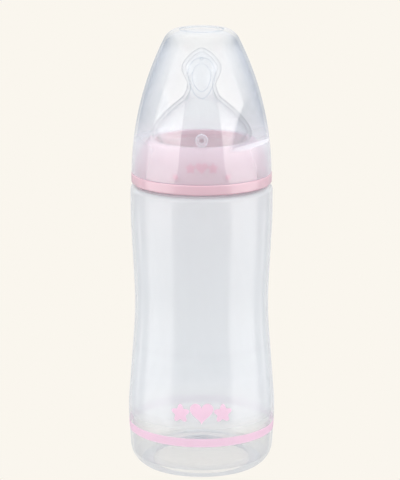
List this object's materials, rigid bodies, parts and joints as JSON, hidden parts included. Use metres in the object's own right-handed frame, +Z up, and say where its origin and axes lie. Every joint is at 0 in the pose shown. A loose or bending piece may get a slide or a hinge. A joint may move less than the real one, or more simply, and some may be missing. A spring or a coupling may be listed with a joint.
{
  "type": "baby bottle",
  "caption": "Wide-neck baby bottle with an hourglass body, a pink screw ring, a soft clear teat with a flattened dished bulb, and a clear protective cap.",
  "frame": {"origin": "centre of the circle that the bottle stands on, at the plane of its foot", "axes": "+Z up along the bottle's axis, -Y the front that the teat's dish and vent valve face, +X to the right seen from the front"},
  "size_m": [0.0652, 0.0652, 0.195],
  "materials": {
    "bottle_plastic": "satin",
    "ring_plastic": "satin",
    "teat_silicone": "satin",
    "cap_plastic": "gloss"
  },
  "bodies": {
    "bottle": {"bottle": "bottle_plastic"},
    "teat": {"teat": "teat_silicone"},
    "screw_ring": {"screw_ring": "ring_plastic"},
    "protective_cap": {"protective_cap": "cap_plastic"}
  },
  "joints": [
    {"name": "closure_lift", "type": "slide", "parent": "bottle", "child": "teat", "axis": [0, 0, 1], "range_m": [0, 0.0158]},
    {"name": "ring_turn", "type": "hinge", "parent": "teat", "child": "screw_ring", "pos_m": [0, 0, 0.135], "axis": [0, 0, 1], "range_deg": [0, 1260]},
    {"name": "cap_lift", "type": "slide", "parent": "screw_ring", "child": "protective_cap", "axis": [0, 0, 1], "range_m": [0, 0.07]}
  ],
  "couplings": [
    {"joint": "closure_lift", "follows": "ring_turn", "m_per_rad": 0.0007162}
  ]
}
